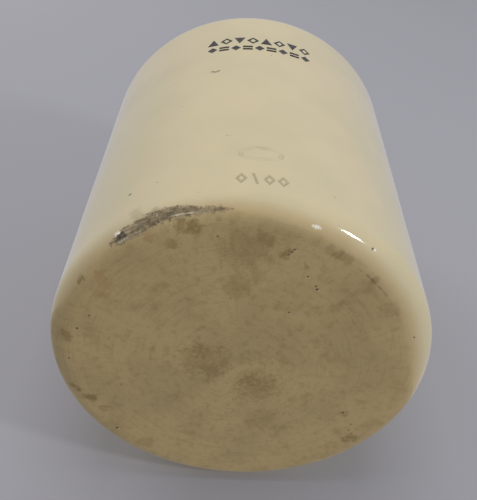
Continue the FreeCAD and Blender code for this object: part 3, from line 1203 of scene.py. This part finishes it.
def one_sided(name, colour, even):
    """A plain surface that shows only from its front, part of it evenly pale and the rest as it is lit."""
    material = bpy.data.materials.new(name)
    material.use_nodes = True
    nodes, links = material.node_tree.nodes, material.node_tree.links
    nodes.clear()
    lit = nodes.new("ShaderNodeBsdfDiffuse")
    lit.inputs["Color"].default_value = (*colour, 1)
    flat = nodes.new("ShaderNodeEmission")
    flat.inputs["Color"].default_value = (*colour, 1)
    plain = nodes.new("ShaderNodeMixShader")
    plain.inputs[0].default_value = even
    links.new(lit.outputs[0], plain.inputs[1])
    links.new(flat.outputs[0], plain.inputs[2])
    nothing = nodes.new("ShaderNodeBsdfTransparent")
    side = nodes.new("ShaderNodeNewGeometry")
    mixed = nodes.new("ShaderNodeMixShader")
    output = nodes.new("ShaderNodeOutputMaterial")
    links.new(side.outputs["Backfacing"], mixed.inputs[0])
    links.new(plain.outputs[0], mixed.inputs[1])
    links.new(nothing.outputs[0], mixed.inputs[2])
    links.new(mixed.outputs[0], output.inputs["Surface"])
    return material


def plain_sheet(name, turn, shift, material):
    """A flat square sheet of the stage, which lets the lamps' light through."""
    sheet = bmesh.new()
    bmesh.ops.create_grid(sheet, x_segments=1, y_segments=1, size=SHEET_HALF)
    bmesh.ops.rotate(sheet, cent=(0, 0, 0), matrix=turn.to_matrix(), verts=sheet.verts)
    bmesh.ops.translate(sheet, vec=shift, verts=sheet.verts)
    mesh = bpy.data.meshes.new(name)
    sheet.to_mesh(mesh)
    sheet.free()
    mesh.materials.append(material)
    piece = bpy.data.objects.new(name, mesh)
    bpy.context.scene.collection.objects.link(piece)
    piece.visible_shadow = False
    piece.visible_diffuse = False
    piece.visible_glossy = False
    return piece


def lamp(name, place, aim, wide, power, colour):
    """A soft square lamp that points at a place."""
    data = bpy.data.lights.new(name, "AREA")
    data.size, data.energy, data.color = wide, power, colour
    piece = bpy.data.objects.new(name, data)
    bpy.context.scene.collection.objects.link(piece)
    piece.location = place
    piece.rotation_mode = "QUATERNION"
    piece.rotation_quaternion = (aim - place).to_track_quat("-Z", "Y")
    return piece


def daylight(strength, colour):
    """Light from all round, and a pale surrounding for the eye and for reflections."""
    world = bpy.data.worlds.new("daylight")
    world.use_nodes = True
    nodes, links = world.node_tree.nodes, world.node_tree.links
    nodes.clear()
    path = nodes.new("ShaderNodeLightPath")
    seen_or_mirrored = nodes.new("ShaderNodeMath")
    seen_or_mirrored.operation = "MAXIMUM"
    any_seen = nodes.new("ShaderNodeMath")
    any_seen.operation = "MAXIMUM"
    light, pale = nodes.new("ShaderNodeBackground"), nodes.new("ShaderNodeBackground")
    light.inputs["Color"].default_value = (1, 1, 1, 1)
    light.inputs["Strength"].default_value = strength
    pale.inputs["Color"].default_value = (*colour, 1)
    mixed = nodes.new("ShaderNodeMixShader")
    output = nodes.new("ShaderNodeOutputWorld")
    links.new(path.outputs["Is Camera Ray"], seen_or_mirrored.inputs[0])
    links.new(path.outputs["Is Glossy Ray"], seen_or_mirrored.inputs[1])
    links.new(seen_or_mirrored.outputs[0], any_seen.inputs[0])
    links.new(path.outputs["Is Transmission Ray"], any_seen.inputs[1])
    links.new(any_seen.outputs[0], mixed.inputs[0])
    links.new(light.outputs[0], mixed.inputs[1])
    links.new(pale.outputs[0], mixed.inputs[2])
    links.new(mixed.outputs[0], output.inputs["Surface"])
    bpy.context.scene.world = world


def pass_over(light, thing):
    """Keeps a lamp's own light off one thing and on all the rest."""
    passed_over = bpy.data.collections.new("not_lit_from_the_front")
    passed_over.objects.link(thing)
    passed_over.collection_objects[0].light_linking.link_state = "EXCLUDE"
    light.light_linking.receiver_collection = passed_over


def photo_camera(lens):
    """The camera at the photograph's place and angle."""
    data = bpy.data.cameras.new("camera")
    data.lens = lens
    data.sensor_width = SENSOR
    data.clip_start = NEAREST
    camera = bpy.data.objects.new("camera", data)
    bpy.context.scene.collection.objects.link(camera)
    camera.location = CAMERA_PLACE
    camera.rotation_mode = "QUATERNION"
    roll = Quaternion((0, 0, 1), CAMERA_ROLL)
    camera.rotation_quaternion = CAMERA_AIM.to_track_quat("-Z", "Y") @ roll
    bpy.context.scene.camera = camera


class OINTMENT_OT_stage(bpy.types.Operator):
    """Set the stage: camera, soft light, floor and the pale cloth behind the pot"""

    bl_idname = "ointment.stage"
    bl_label = "Stage"

    def execute(self, context):
        scene = context.scene
        stage = scene.ointment_stage
        scene.view_settings.view_transform = "Standard"
        pale_floor = one_sided("pale_floor", stage.floor, FLOOR_EVEN)
        floor = plain_sheet("floor", Quaternion(), (0, 0, -CLEAR), pale_floor)
        upright = Quaternion((1, 0, 0), math.pi / 2)
        behind = (0, scene.ointment_pot.radius + CLEAR, 0)
        plain_sheet("backdrop", upright, behind, one_sided("plain_cloth", stage.cloth, 0.0))
        daylight(stage.daylight, stage.around)
        front = lamp("front_light", FRONT_PLACE, LIT_MIDDLE, LARGE_LAMP, stage.front, WHITE)
        side = lamp("side_light", SIDE_PLACE, LIT_MIDDLE, LARGE_LAMP, stage.side, WARM)
        front.visible_glossy = side.visible_glossy = False
        pass_over(front, floor)
        lamp("back_light", BACK_PLACE, LIT_MIDDLE, BACK_LAMP, stage.back, WHITE)
        window = lamp("window_light", WINDOW_PLACE, WINDOW_GLINT, WINDOW_WIDE, stage.window, WHITE)
        window.data.shape, window.data.size_y = "ELLIPSE", WINDOW_TALL
        photo_camera(stage.lens)
        return {"FINISHED"}


class OINTMENT_PT_panel(bpy.types.Panel):
    """Sizes, colours and steps of the ointment pot"""

    bl_idname = "OINTMENT_PT_panel"
    bl_label = "Ointment Pot"
    bl_space_type = "VIEW_3D"
    bl_region_type = "UI"
    bl_category = "Ointment Pot"

    def draw(self, context):
        layout = self.layout
        for name, group in SETTINGS.items():
            box = layout.box()
            box.label(text=group.__doc__)
            for setting in group.__annotations__:
                box.prop(getattr(context.scene, name), setting)
        for operator in STEPS:
            layout.operator(operator.bl_idname)


SETTINGS = {
    "ointment_pot": PotSizes,
    "ointment_lid": LidSizes,
    "ointment_marks": MarkSizes,
    "ointment_finish": FinishColours,
    "ointment_stage": StageSettings,
}
STEPS = (OINTMENT_OT_jar, OINTMENT_OT_print, OINTMENT_OT_ring, OINTMENT_OT_lid, OINTMENT_OT_stage)


def register():
    for group in (*SETTINGS.values(), *STEPS, OINTMENT_PT_panel):
        bpy.utils.register_class(group)
    for name, group in SETTINGS.items():
        setattr(bpy.types.Scene, name, bpy.props.PointerProperty(type=group))


def unregister():
    for name in SETTINGS:
        delattr(bpy.types.Scene, name)
    for group in (OINTMENT_PT_panel, *reversed(STEPS), *reversed(SETTINGS.values())):
        bpy.utils.unregister_class(group)


def main():
    register()
    bpy.ops.ointment.jar()
    bpy.ops.ointment.print()
    bpy.ops.ointment.ring()
    bpy.ops.ointment.lid()
    bpy.ops.ointment.stage()


if __name__ == "__main__":
    main()
